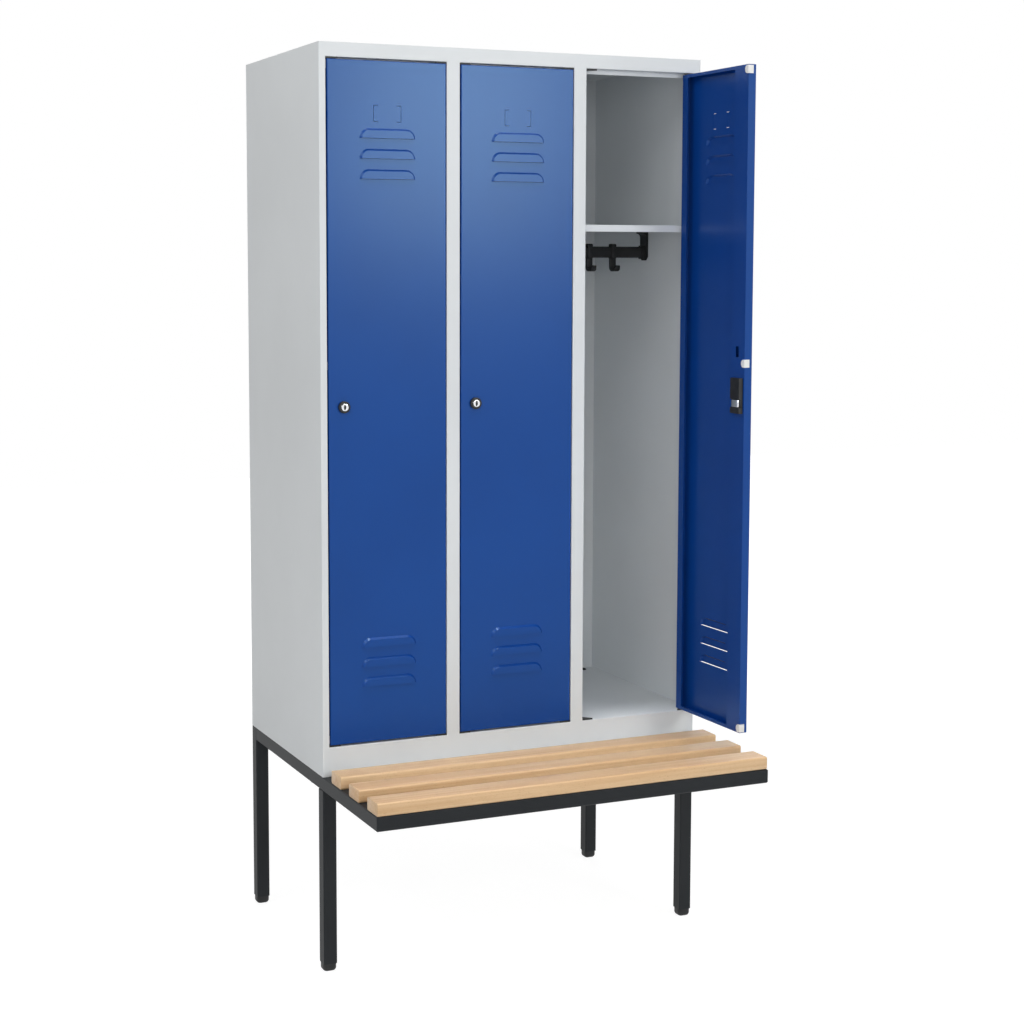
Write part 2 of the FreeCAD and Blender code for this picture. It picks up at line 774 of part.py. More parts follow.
def door_panel(bay):
    label = f"door_panel_{BAY_NAMES[bay]}"
    body = new_body(label, *door_base(bay))
    blank = new_sketch(body, "XZ", DOOR_FRONT)
    rectangle(blank, DOOR_LEFT, DOOR_FOOT, DOOR_RIGHT, DOOR_HEAD)
    pad(body, blank, "door_depth")
    hollow = new_sketch(body, "XZ", DOOR_BACK)
    rectangle(hollow, f"{DOOR_LEFT} + door_gauge", f"{DOOR_FOOT} + door_gauge",
              f"{DOOR_RIGHT} - door_gauge", f"{DOOR_HEAD} - door_gauge")
    pocket(body, hollow, "door_depth - door_gauge", -1)
    lip = new_sketch(body, "XZ", DOOR_BACK)
    lock_end = f"({DOOR_LEFT} + stiffener_width)"
    hinge_end = f"({DOOR_RIGHT} - door_gauge / 2)"
    inner_edge = f"({DOOR_RIGHT} - hinge_lip)"
    polygon(lip, [
        (lock_end, DOOR_FOOT), (hinge_end, DOOR_FOOT), (hinge_end, DOOR_HEAD), (lock_end, DOOR_HEAD),
        (lock_end, f"{DOOR_HEAD} - end_lip"), (inner_edge, f"{DOOR_HEAD} - end_lip"),
        (inner_edge, f"{DOOR_FOOT} + end_lip"), (lock_end, f"{DOOR_FOOT} + end_lip"),
    ])
    pad(body, lip, "door_gauge", -1)
    round_edges(body, "bend_radius", [
        ("x", [(DOOR_FRONT, DOOR_FOOT), (DOOR_FRONT, DOOR_HEAD)]),
        ("z", [(DOOR_LEFT, DOOR_FRONT), (DOOR_RIGHT, DOOR_FRONT), (DOOR_RIGHT, DOOR_BACK)]),
    ])
    face_cuts = new_sketch(body, "XZ", DOOR_FRONT)
    label_slits(face_cuts)
    barrel_outline(face_cuts)
    pocket(body, face_cuts, "door_gauge + cut_overrun")
    louvre_group(body, "(bottom_rail + louvre_foot_rise)")
    louvre_group(body, f"({OPENING_TOP} - louvre_top_drop - {LOUVRES_PER_GROUP - 1} * louvre_pitch)")
    return keep(body, label)


def door_stiffener(bay):
    label = f"door_stiffener_{BAY_NAMES[bay]}"
    body = new_body(label, *door_base(bay))
    near = f"({DOOR_LEFT} + door_gauge)"
    far = f"({DOOR_LEFT} + stiffener_width)"
    seat = f"({DOOR_FRONT} + door_gauge)"
    section = new_sketch(body, "XY", f"{DOOR_FOOT} + door_gauge")
    polygon(section, [
        (near, DOOR_BACK),
        (near, f"{DOOR_BACK} - door_gauge"),
        (f"{far} - door_gauge", f"{DOOR_BACK} - door_gauge"),
        (f"{far} - door_gauge", seat),
        (f"{far} + stiffener_foot", seat),
        (f"{far} + stiffener_foot", f"{seat} + door_gauge"),
        (far, f"{seat} + door_gauge"),
        (far, DOOR_BACK),
    ])
    pad(body, section, f"{DOOR_HEAD} - {DOOR_FOOT} - 2 * door_gauge")
    holes = new_sketch(body, "XZ", DOOR_BACK)
    square(holes, LOCK_X, LOCK_Z, "(barrel_width + 2 * slide_play)")
    middle = f"({DOOR_LEFT} + slot_inset)"
    rectangle(holes, f"{middle} - slot_width / 2", f"{LOCK_Z} + slot_rise - slot_height / 2",
              f"{middle} + slot_width / 2", f"{LOCK_Z} + slot_rise + slot_height / 2")
    pocket(body, holes, "door_gauge + cut_overrun", -1)
    return keep(body, label)


def hinge_pins(bay):
    # A stud on each end of the tray, which turns in the bush beyond it.
    members = []
    for end, inward in ((DOOR_FOOT, 1), (DOOR_HEAD, -1)):
        body = new_body("hinge_pin", *door_base(bay))
        stem = new_sketch(body, "XY", end)
        circle(stem, "0", "0", "pin_diameter")
        pad(body, stem, "pin_reach", -inward)
        members.append(body)
    group(f"hinge_pins_{BAY_NAMES[bay]}", members)


def door_bumpers(bay):
    members = []
    feet = (
        f"{DOOR_FOOT} + bumper_margin",
        f"{LOCK_Z} + bumper_rise - bumper_height / 2",
        f"{DOOR_HEAD} - bumper_margin - bumper_height",
    )
    for foot in feet:
        body = new_body("door_bumper", *door_base(bay))
        section = new_sketch(body, "XY", foot)
        polygon(section, [
            (DOOR_LEFT, f"{DOOR_BACK} - bumper_wing"),
            (DOOR_LEFT, DOOR_BACK),
            (f"{DOOR_LEFT} + bumper_wing", DOOR_BACK),
            (f"{DOOR_LEFT} + bumper_wing", f"{DOOR_BACK} + bumper_gauge"),
            (f"{DOOR_LEFT} - bumper_gauge", f"{DOOR_BACK} + bumper_gauge", "bumper_gauge"),
            (f"{DOOR_LEFT} - bumper_gauge", f"{DOOR_BACK} - bumper_wing"),
        ], rounded=False)
        pad(body, section, "bumper_height")
        members.append(body)
    group(f"door_bumpers_{BAY_NAMES[bay]}", members)


def lock_barrel(bay):
    label = f"lock_barrel_{BAY_NAMES[bay]}"
    body = new_body(label, *door_base(bay))
    front = f"({DOOR_FRONT} - collar_proud)"
    collar = circle(new_sketch(body, "XZ", front), LOCK_X, LOCK_Z, "collar_diameter")
    pad(body, collar, "collar_proud")
    barrel = barrel_outline(new_sketch(body, "XZ", DOOR_FRONT))
    pad(body, barrel, "door_depth")
    bore = circle(new_sketch(body, "XZ", front), LOCK_X, LOCK_Z, "plug_face + 2 * running_fit")
    pocket(body, bore, "collar_proud + door_depth")
    return keep(body, label)


def lock_plug(bay):
    # At rest the crank points down and away from the lock edge, a quarter turn short of locked.
    label = f"lock_plug_{BAY_NAMES[bay]}"
    body = new_body(label, *door_base(bay))
    front = f"({DOOR_FRONT} - collar_proud)"
    crank_front = f"({DOOR_BACK} + case_floor + slide_play)"
    crank_back = f"({crank_front} + crank_gauge)"
    pin_x = f"({LOCK_X} + bolt_throw / 2)"
    pin_z = f"({LOCK_Z} - bolt_throw / 2)"
    plug = circle(new_sketch(body, "XZ", front), LOCK_X, LOCK_Z, "plug_face")
    pad(body, plug, f"{crank_back} - {front}")
    rim = "(crank_pin / 2 + crank_rim)"
    arm = new_sketch(body, "XZ", crank_front)
    polygon(arm, [
        (f"{LOCK_X} - {rim}", f"{LOCK_Z} - {rim}"),
        (f"{pin_x} - {rim}", f"{pin_z} - {rim}"),
        (f"{pin_x} + {rim}", f"{pin_z} - {rim}"),
        (f"{pin_x} + {rim}", f"{pin_z} + {rim}"),
        (f"{LOCK_X} + {rim}", f"{LOCK_Z} + {rim}"),
    ])
    pad(body, arm, "crank_gauge")
    pin = circle(new_sketch(body, "XZ", crank_front), pin_x, pin_z, "crank_pin")
    pad(body, pin, f"crank_gauge + {CASE_BACK} - {BOLT_FRONT}")
    keyway = new_sketch(body, "XZ", front)
    rectangle(keyway, f"{LOCK_X} - keyway_width / 2", f"{LOCK_Z} - keyway_height / 2",
              f"{LOCK_X} + keyway_width / 2", f"{LOCK_Z} + keyway_height / 2")
    pocket(body, keyway, "keyway_depth")
    return keep(body, label)


def tee(sketch, play, back):
    # The bolt's section: a wide base that two lips of the case hold, and a narrower face.
    wide = f"(bolt_height / 2 + bolt_shoulder + {play})"
    narrow = f"(bolt_height / 2 + {play})"
    front = f"({BOLT_FRONT} - {play})"
    step = f"({BOLT_FRONT} + bolt_base + {play})"
    return polygon(sketch, [
        (front, f"{LOCK_Z} - {wide}"), (step, f"{LOCK_Z} - {wide}"),
        (step, f"{LOCK_Z} - {narrow}"), (back, f"{LOCK_Z} - {narrow}"),
        (back, f"{LOCK_Z} + {narrow}"), (step, f"{LOCK_Z} + {narrow}"),
        (step, f"{LOCK_Z} + {wide}"), (front, f"{LOCK_Z} + {wide}"),
    ])


def lock_case(bay):
    label = f"lock_case_{BAY_NAMES[bay]}"
    body = new_body(label, *door_base(bay))
    left = f"({LOCK_X} - case_lead)"
    right = f"({LOCK_X} + case_trail)"
    foot = f"({LOCK_Z} - case_drop)"
    head = f"({foot} + case_height)"
    block = rectangle(new_sketch(body, "XZ", DOOR_BACK), left, foot, right, head)
    pad(body, block, "case_depth")
    swing = f"({CRANK_ARM} + sqrt(2) * (crank_pin / 2 + crank_rim) + slide_play)"
    recess = new_sketch(body, "XZ", CASE_BACK)
    rectangle(recess, f"{LOCK_X} - {swing}", f"{LOCK_Z} - {swing}", f"{LOCK_X} + {swing}", LOCK_Z)
    pocket(body, recess, "case_depth - case_floor", -1)
    plug_hole = square(new_sketch(body, "XZ", CASE_BACK), LOCK_X, LOCK_Z, "(plug_face + 2 * slide_play)")
    pocket(body, plug_hole, "case_depth + cut_overrun", -1)
    slide = tee(new_sketch(body, "YZ", f"{left} - cut_overrun"), "slide_play", f"{CASE_BACK} + cut_overrun")
    pocket(body, slide, "case_lead + case_trail + 2 * cut_overrun")
    return keep(body, label)


def lock_bolt(bay):
    # A sliding bar with a fork that hangs down round the crank's pin.
    label = f"lock_bolt_{BAY_NAMES[bay]}"
    body = new_body(label, *door_base(bay))
    tip = f"({LOCK_X} - bolt_lead)"
    slot = f"({LOCK_X} + bolt_throw / 2)"
    end = f"({slot} + {HALF_SLOT} + fork_wall)"
    bar = tee(new_sketch(body, "YZ", tip), "0", CASE_BACK)
    pad(body, bar, f"{end} - {tip}")
    fork = new_sketch(body, "XZ", BOLT_FRONT)
    rectangle(fork, f"{slot} - {HALF_SLOT} - fork_wall", FORK_FOOT, end, LOCK_Z)
    pad(body, fork, "bolt_base")
    gap = new_sketch(body, "XZ", BOLT_FRONT)
    gap_head = f"({LOCK_Z} - bolt_throw / 2 + {HALF_SLOT})"
    rectangle(gap, f"{slot} - {HALF_SLOT}", f"{FORK_FOOT} - cut_overrun", f"{slot} + {HALF_SLOT}", gap_head)
    pocket(body, gap, f"{CASE_BACK} - {BOLT_FRONT} + cut_overrun")
    return keep(body, label)


# Underframe and bench

def tube(name, plane, at, corner, length):
    # A square tube with eased edges, drawn by its section's lower corner and its length.
    body = new_body(name, CARCASS)
    left, low = corner
    right = f"({left} + tube_size)"
    high = f"({low} + tube_size)"
    section = new_sketch(body, plane, at)
    rectangle(section, left, low, right, high, "tube_bevel", rounded=False)
    rectangle(section, f"{left} + tube_wall", f"{low} + tube_wall",
              f"{right} - tube_wall", f"{high} - tube_wall")
    pad(body, section, length)
    return body


def mitre(body, corners):
    cut = polygon(new_sketch(body, "XY"), corners)
    pocket(body, cut, "tube_size", -1)


def side_rail(label, across, corner):
    body = tube(label, "XZ", "-bench_reach", (corner, "-tube_size"), f"bench_reach + {SIDE_RAIL_END}")
    mitre(body, [
        (across("0"), "-bench_reach"),
        (across("tube_size"), "-bench_reach"),
        (across("tube_size"), "tube_size - bench_reach"),
    ])
    return keep(body, label)


def front_rail():
    body = tube("front_rail", "YZ", "0", ("-bench_reach", "-tube_size"), WIDTH)
    for across in (from_left, from_right):
        mitre(body, [
            (across("0"), "-bench_reach"),
            (across("tube_size"), "tube_size - bench_reach"),
            (across("0"), "tube_size - bench_reach"),
        ])
    return keep(body, "front_rail")


def cross_rails():
    span = f"{WIDTH} - 2 * tube_size"
    keep(tube("cross_rail", "YZ", "tube_size", ("0", "-tube_size"), span), "cross_rail")
    keep(tube("rear_rail", "YZ", "tube_size", (SIDE_RAIL_END, "-tube_size"), span), "rear_rail")


def legs():
    lefts = ("0", f"{WIDTH} - tube_size")
    short = f"-tube_size - {LEG_FOOT}"
    full = f"-{LEG_FOOT}"
    group("front_legs", [tube("front_leg", "XY", LEG_FOOT, (left, "0"), short) for left in lefts])
    group("rear_legs", [tube("rear_leg", "XY", LEG_FOOT, (left, SIDE_RAIL_END), full) for left in lefts])


def foot_glides():
    members = []
    for left in ("0", f"({WIDTH} - tube_size)"):
        for front in ("0", SIDE_RAIL_END):
            body = new_body("foot_glide", CARCASS)
            right = f"({left} + tube_size)"
            back = f"({front} + tube_size)"
            block = rectangle(new_sketch(body, "XY", "-frame_height"), left, front, right, back)
            pad(body, block, "foot_height")
            cut_edges(body, "foot_bevel", [
                ("x", [(front, "-frame_height"), (back, "-frame_height")]),
                ("y", [(left, "-frame_height"), (right, "-frame_height")]),
            ])
            margin = "(tube_wall + foot_play)"
            plug = rectangle(new_sketch(body, "XY", LEG_FOOT), f"{left} + {margin}", f"{front} + {margin}",
                             f"{right} - {margin}", f"{back} - {margin}")
            pad(body, plug, "foot_plug")
            members.append(body)
    group("foot_glides", members)


def bench_slat(index):
    label = f"{SLAT_NAMES[index]}_slat"
    body = new_body(label, CARCASS)
    front = f"({index} * {SLAT_PITCH} - bench_reach)"
    section = new_sketch(body, "YZ", "slat_inset")
    back = f"({front} + slat_width)"
    polygon(section, [
        (front, "0"),
        (back, "0"),
        (back, "slat_thickness", "slat_round"),
        (front, "slat_thickness", "slat_round"),
    ])
    pad(body, section, f"{WIDTH} - 2 * slat_inset")
    return keep(body, label)


side_panel("left_side_panel", from_left)
side_panel("right_side_panel", from_right)
back_panel()
top_panel()
floor_panel()
partition("left_partition", 1)
partition("right_partition", 2)
corner_bushes()
coat_rails()
rail_brackets()
side_rail("left_side_rail", from_left, "0")
side_rail("right_side_rail", from_right, f"({WIDTH} - tube_size)")
front_rail()
cross_rails()
legs()
foot_glides()
for slat_index in range(len(SLAT_NAMES)):
    bench_slat(slat_index)
for bay_index in range(BAYS):
    hat_shelf(bay_index)
    for hook_index in range(HOOKS_PER_BAY):
        coat_hook(bay_index, hook_index)
    door_panel(bay_index)
    door_stiffener(bay_index)
    hinge_pins(bay_index)
    door_bumpers(bay_index)
    lock_barrel(bay_index)
    lock_plug(bay_index)
    lock_case(bay_index)
    lock_bolt(bay_index)
doc.recompute()

failed = [thing.Name for thing in doc.Objects if {"Invalid", "Error"} & set(thing.State)]
failed += [part.Label for part in subparts if part.Shape.isNull() or not part.Shape.isValid()]
if failed:
    raise RuntimeError("not built: " + ", ".join(failed))
for part in subparts:
    part.Shape.exportStep(f"parts/{part.Label}.step")
print(len(subparts), "sub-parts written")
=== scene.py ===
import json
import math

import bmesh
import bpy
from mathutils import Color, Matrix, Vector


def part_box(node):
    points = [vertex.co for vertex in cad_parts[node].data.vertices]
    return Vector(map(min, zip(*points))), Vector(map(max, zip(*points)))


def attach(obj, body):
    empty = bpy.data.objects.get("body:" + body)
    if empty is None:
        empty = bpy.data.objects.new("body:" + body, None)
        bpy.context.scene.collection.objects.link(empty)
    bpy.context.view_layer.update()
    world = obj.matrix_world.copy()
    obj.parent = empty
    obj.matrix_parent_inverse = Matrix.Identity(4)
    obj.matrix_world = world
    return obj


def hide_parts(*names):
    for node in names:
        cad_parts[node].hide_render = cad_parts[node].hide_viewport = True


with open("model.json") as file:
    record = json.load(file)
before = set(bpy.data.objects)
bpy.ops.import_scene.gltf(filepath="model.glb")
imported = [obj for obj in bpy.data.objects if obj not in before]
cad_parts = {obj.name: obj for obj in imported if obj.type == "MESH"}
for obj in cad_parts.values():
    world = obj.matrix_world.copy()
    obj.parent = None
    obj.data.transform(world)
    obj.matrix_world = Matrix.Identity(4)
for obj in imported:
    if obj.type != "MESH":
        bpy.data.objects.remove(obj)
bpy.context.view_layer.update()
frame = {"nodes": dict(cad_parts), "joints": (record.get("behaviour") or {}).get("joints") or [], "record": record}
scene = bpy.context.scene
scene.view_settings.view_transform = "Standard"
bays = ("left", "middle", "right")
white = (1.0, 1.0, 1.0, 1.0)


# Shader wiring

noiseMean = 0.5
fullLevel = 255  # of a colour channel
colourMix = {"factor": 0, "low": 6, "high": 7, "result": 2}  # a Mix node's colour sockets, which share names


class Wire:
    # one socket of a shader tree, so that sums on it add Math nodes

    def __init__(self, tree, socket=None):
        self.tree = tree
        self.socket = socket

    def make(self, kind, settings, sockets, out=0):
        node = self.tree.nodes.new("ShaderNode" + kind)
        for name, value in settings.items():
            setattr(node, name, value)
        for name, value in sockets.items():
            if isinstance(value, Wire):
                self.tree.links.new(value.socket, node.inputs[name])
            else:
                node.inputs[name].default_value = value
        return Wire(self.tree, node.outputs[out])

    def beside(self, name):
        return Wire(self.tree, self.socket.node.outputs[name])

    def into(self, shader, name):
        self.tree.links.new(self.socket, shader.inputs[name])

    def calc(self, operation, first, second):
        return self.make("Math", {"operation": operation}, {0: first, 1: second})

    def __add__(self, other):
        return self.calc("ADD", self, other)

    def __radd__(self, other):
        return self.calc("ADD", other, self)

    def __sub__(self, other):
        return self.calc("SUBTRACT", self, other)

    def __rsub__(self, other):
        return self.calc("SUBTRACT", other, self)

    def __mul__(self, other):
        return self.calc("MULTIPLY", self, other)

    def __rmul__(self, other):
        return self.calc("MULTIPLY", other, self)

    def either(self, other):
        return self.calc("MAXIMUM", self, other)

    def about(self, middle, swing):
        # to and fro about middle, as noise goes about its mean
        return middle + (self - noiseMean) * swing

    def noise(self, scale, detail=2.0, roughness=0.5):
        return self.make("TexNoise", {}, {"Vector": self, "Scale": scale, "Detail": detail,
                                          "Roughness": roughness})

    def drawnOut(self, figure):
        # noise with its own scale along each axis
        spot = self.make("Mapping", {}, {"Vector": self, "Scale": figure["scale"]})
        return spot.noise(1.0, figure["detail"], figure["roughness"])

    def rise(self, low, high):
        return self.make("MapRange", {"interpolation_type": "SMOOTHSTEP"},
                         {"Value": self, "From Min": low, "From Max": high})

    def tint(self, low, high):
        sockets = {colourMix["factor"]: self, colourMix["low"]: low, colourMix["high"]: high}
        return self.make("Mix", {"data_type": "RGBA"}, sockets, colourMix["result"])

    def bump(self):
        return self.make("Bump", {}, {"Height": self, "Distance": 1.0})


def paint(red, green, blue):
    colour = Color((red / fullLevel, green / fullLevel, blue / fullLevel)).from_srgb_to_scene_linear()
    return (*colour, 1.0)


def newFinish(name, constants):
    finish = bpy.data.materials.new(name)
    finish.use_nodes = True
    shader = finish.node_tree.nodes["Principled BSDF"]
    for socket, value in constants.items():
        shader.inputs[socket].default_value = value
    place = Wire(finish.node_tree).make("TexCoord", {}, {}, "Object")
    return finish, shader, place


# Powder coats: a slow drift of tone, orange peel, and the slight waviness of thin sheet

greyCoat = {
    "name": "lightGreyCoat",
    "light": paint(223, 227, 229), "shade": paint(217, 221, 223), "driftScale": 2.2,
    "roughness": 0.40, "roughnessSwing": 0.10, "specular": 0.30, "tint": white,
    "peelScale": 420, "peelHeight": 0.000010, "swayScale": 3.4, "swayHeight": 0.0005,
}
blueCoat = {
    "name": "gentianBlueCoat",
    "light": paint(11, 64, 143), "shade": paint(9, 60, 137), "driftScale": 2.6,
    "roughness": 0.26, "roughnessSwing": 0.05, "specular": 0.38, "tint": (0.57, 0.86, 1.0, 1.0),
    "peelScale": 380, "peelHeight": 0.000004, "swayScale": 4.0, "swayHeight": 0.0004,
}
blackCoat = {
    "name": "blackGreyCoat",
    "light": paint(30, 33, 36), "shade": paint(26, 29, 32), "driftScale": 5.0,
    "roughness": 0.52, "roughnessSwing": 0.16, "specular": 0.22, "tint": white,
    "peelScale": 900, "peelHeight": 0.000050, "swayScale": 6.0, "swayHeight": 0.0001,
}
coatFigure = {"driftDetail": 4.0, "driftLow": 0.3, "driftHigh": 0.7, "peelDetail": 2.0, "peelRoughness": 0.6,
              "swayDetail": 0.0}


def powderCoat(coat):
    constants = {"Specular IOR Level": coat["specular"], "Specular Tint": coat["tint"]}
    finish, shader, place = newFinish(coat["name"], constants)
    drift = place.noise(coat["driftScale"], coatFigure["driftDetail"])
    peel = place.noise(coat["peelScale"], coatFigure["peelDetail"], coatFigure["peelRoughness"])
    sway = place.noise(coat["swayScale"], coatFigure["swayDetail"])
    tone = drift.rise(coatFigure["driftLow"], coatFigure["driftHigh"])
    tone.tint(coat["shade"], coat["light"]).into(shader, "Base Color")
    peel.about(coat["roughness"], coat["roughnessSwing"]).into(shader, "Roughness")
    (peel * coat["peelHeight"] + sway * coat["swayHeight"]).bump().into(shader, "Normal")
    return finish


# Clear-lacquered beech, cut with its grain along the slat

beech = {
    "name": "clearBeech", "specular": 0.4, "lacquer": 0.12,
    "pale": paint(224, 191, 149), "warm": paint(204, 163, 117),
    "fleckTone": paint(168, 120, 80), "blushTone": paint(204, 150, 110),
    "toneLift": 0.15, "toneLow": 0.25, "toneHigh": 0.75,
    "roughness": 0.40, "roughnessSwing": 0.14, "poreHeight": 0.00006,
    # figures of the wood, with the share that each has in the tone
    "bands": {"scale": (0.7, 22, 22), "detail": 3.0, "roughness": 0.5, "share": 0.7},
    "streaks": {"scale": (3.0, 150, 150), "detail": 4.0, "roughness": 0.6, "share": 0.55},
    "rings": {"scale": (1.2, 420, 420), "detail": 2.0, "roughness": 0.5, "share": 0.25},
    "flecks": {"scale": (170, 1100, 1100), "detail": 1.0, "roughness": 0.5, "share": 0.5,
               "low": 0.64, "high": 0.74},
    "blush": {"scale": (5.5, 17, 17), "detail": 2.0, "roughness": 0.5, "share": 0.5,
              "low": 0.60, "high": 0.78},
}


def beechWood():
    constants = {"Specular IOR Level": beech["specular"], "Coat Weight": beech["lacquer"]}
    finish, shader, place = newFinish(beech["name"], constants)
    bands = place.drawnOut(beech["bands"])
    streaks = place.drawnOut(beech["streaks"])
    rings = place.drawnOut(beech["rings"])
    flecks = place.drawnOut(beech["flecks"]).rise(beech["flecks"]["low"], beech["flecks"]["high"])
    blush = place.drawnOut(beech["blush"]).rise(beech["blush"]["low"], beech["blush"]["high"])
    tone = (bands * beech["bands"]["share"] + (streaks - noiseMean) * beech["streaks"]["share"]
            + (rings - noiseMean) * beech["rings"]["share"] + beech["toneLift"])
    wood = tone.rise(beech["toneLow"], beech["toneHigh"]).tint(beech["pale"], beech["warm"])
    wood = (blush * beech["blush"]["share"]).tint(wood, beech["blushTone"])
    (flecks * beech["flecks"]["share"]).tint(wood, beech["fleckTone"]).into(shader, "Base Color")
    streaks.about(beech["roughness"], beech["roughnessSwing"]).into(shader, "Roughness")
    ((streaks - flecks) * beech["poreHeight"]).bump().into(shader, "Normal")
    return finish


# Moulded plastics with a spark-eroded grain

blackNylon = {
    "name": "blackNylon", "light": paint(34, 35, 36), "shade": paint(24, 25, 26),
    "roughness": 0.48, "roughnessSwing": 0.2, "grainScale": 1300, "grainHeight": 0.00003,
}
whiteBuffer = {
    "name": "whiteBuffer", "light": paint(240, 240, 238), "shade": paint(226, 226, 224),
    "roughness": 0.5, "roughnessSwing": 0.15, "grainScale": 900, "grainHeight": 0.00003,
}
plasticFigure = {"specular": 0.35, "grainDetail": 2.0, "grainRoughness": 0.65, "grainsPerCloud": 30,
                 "cloudDetail": 3.0, "cloudLow": 0.3, "cloudHigh": 0.7}


def mouldedPlastic(plastic):
    finish, shader, place = newFinish(plastic["name"], {"Specular IOR Level": plasticFigure["specular"]})
    grain = place.noise(plastic["grainScale"], plasticFigure["grainDetail"], plasticFigure["grainRoughness"])
    cloud = place.noise(plastic["grainScale"] / plasticFigure["grainsPerCloud"], plasticFigure["cloudDetail"])
    tone = cloud.rise(plasticFigure["cloudLow"], plasticFigure["cloudHigh"])
    tone.tint(plastic["shade"], plastic["light"]).into(shader, "Base Color")
    grain.about(plastic["roughness"], plastic["roughnessSwing"]).into(shader, "Roughness")
    (grain * plastic["grainHeight"]).bump().into(shader, "Normal")
    return finish


# Bare metals: polished chrome with hairlines, zinc plate with soft spangles

chromePlate = {
    "name": "lockChrome", "light": paint(238, 239, 241), "shade": paint(214, 216, 220),
    "roughness": 0.14, "roughnessSwing": 0.12, "spotScale": 60, "spotShare": 0.6,
    "lines": {"scale": (900, 160, 3200), "detail": 2.0, "roughness": 0.5, "share": 0.4},
}
zincPlate = {
    "name": "zincPlate", "light": paint(206, 208, 210), "shade": paint(176, 180, 184),
    "roughness": 0.34, "roughnessSwing": 0.2, "spotScale": 260, "spotShare": 0.6,
    "lines": {"scale": (500, 500, 500), "detail": 2.0, "roughness": 0.5, "share": 0.4},
}


def bareMetal(metal):
    finish, shader, place = newFinish(metal["name"], {"Metallic": 1.0})
    lines = place.drawnOut(metal["lines"])
    spots = place.make("TexVoronoi", {}, {"Vector": place, "Scale": metal["spotScale"]}, "Color")
    spots = spots.make("SeparateColor", {}, {"Color": spots})
    tone = spots * metal["spotShare"] + lines * metal["lines"]["share"]
    tone.tint(metal["shade"], metal["light"]).into(shader, "Base Color")
    lines.about(metal["roughness"], metal["roughnessSwing"]).into(shader, "Roughness")
    return finish


finishes = {
    "body_grey": powderCoat(greyCoat),
    "door_blue": powderCoat(blueCoat),
    "frame_black": powderCoat(blackCoat),
    "beech": beechWood(),
    "black_plastic": mouldedPlastic(blackNylon),
    "white_plastic": mouldedPlastic(whiteBuffer),
    "lock_chrome": bareMetal(chromePlate),
    "zinc_steel": bareMetal(zincPlate),
}
for subpart in frame["record"]["subparts"]:
    for materialSlot in frame["nodes"][subpart["node"]].material_slots:
        materialSlot.material = finishes[subpart["material_slot"]]
print("finishes:", len(finishes))


# Mesh helpers

mergeDistance = 1e-6
onPlane = 1e-5  # how near to a plane counts as on it
straightEnough = 0.99  # share of an edge or a normal along an axis
foldAngle = 1.0  # radians between two faces, past which their edge is a corner
sharpAngle = math.radians(38)
quarterTurn = math.pi / 2
roundSteps = 40  # sides of a turned piece
layDown = Matrix.Rotation(quarterTurn, 4, "X")  # from upright to front to back


def addPiece(name, bm, slot, body, *replaced):
    bmesh.ops.remove_doubles(bm, verts=bm.verts, dist=mergeDistance)
    bmesh.ops.recalc_face_normals(bm, faces=bm.faces)
    mesh = bpy.data.meshes.new(name)
    bm.to_mesh(mesh)
    bm.free()
    mesh.shade_smooth()
    mesh.set_sharp_from_angle(angle=sharpAngle)
    mesh.materials.append(finishes[slot])
    piece = bpy.data.objects.new(name, mesh)
    scene.collection.objects.link(piece)
    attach(piece, body)
    if replaced:
        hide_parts(*replaced)


def edgesOf(verts):
    return {edge for vert in verts for edge in vert.link_edges}


def addBlock(bm, low, high):
    size = Matrix.Diagonal((*(high - low), 1.0))
    made = bmesh.ops.create_cube(bm, size=1.0, matrix=Matrix.Translation((low + high) / 2) @ size)
    return edgesOf(made["verts"])


def addRod(bm, radius, length, sides, seat):
    # a straight rod along the seat's own z, half of it to each side
    made = bmesh.ops.create_cone(bm, cap_ends=True, segments=sides, radius1=radius, radius2=radius,
                                 depth=length, matrix=seat)
    return edgesOf(made["verts"])


def bevelEdges(bm, edges, radius, segments):
    return bmesh.ops.bevel(bm, geom=list(edges), offset=radius, offset_type="OFFSET", affect="EDGES",
                           segments=segments, profile=0.5, material=-1)


def growFaces(bm, faces, step):
    made = bmesh.ops.extrude_face_region(bm, geom=faces)
    verts = [item for item in made["geom"] if isinstance(item, bmesh.types.BMVert)]
    bmesh.ops.translate(bm, verts=verts, vec=step)
    return [item for item in made["geom"] if isinstance(item, bmesh.types.BMFace)]


def runsAlong(edge, axis):
    step = edge.verts[1].co - edge.verts[0].co
    return abs(step[axis]) > straightEnough * step.length


def liesAt(edge, axis, place):
    return all(abs(vert.co[axis] - place) < onPlane for vert in edge.verts)


def isFold(edge):
    return edge.calc_face_angle(0) > foldAngle


def quarterArc(across, up, steps):
    # points from (across, 0) round to (0, up)
    turns = [step / steps * quarterTurn for step in range(steps + 1)]
    return [(across * math.cos(turn), up * math.sin(turn)) for turn in turns]


def spinRound(bm, outline, axis, centre):
    # an outline of points beside centre, turned once round an axis through it
    verts = [bm.verts.new(centre + Vector(point)) for point in outline]
    edges = [bm.edges.new(pair) for pair in zip(verts, verts[1:])]
    bmesh.ops.spin(bm, geom=verts + edges, cent=centre, axis=axis, angle=math.tau, steps=roundSteps,
                   use_merge=True, use_duplicate=False)


# Door frames: zero on the pivot, with the door drawn closed

def doorPlace(bay):
    # from a door's own frame to where the door stands
    swing = next(joint for joint in frame["joints"] if joint["name"] == "door_swing_" + bay)
    turn = Matrix.Rotation(-math.radians(swing["range_deg"][0]), 4, "Z")
    return Matrix.Translation(swing["pos_m"]) @ turn


def doorBox(node):
    # the box of a node in the door's own frame, read from a door that is closed at rest
    back = doorPlace(bays[0]).inverted()
    low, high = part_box(node + "_" + bays[0])
    return back @ low, back @ high


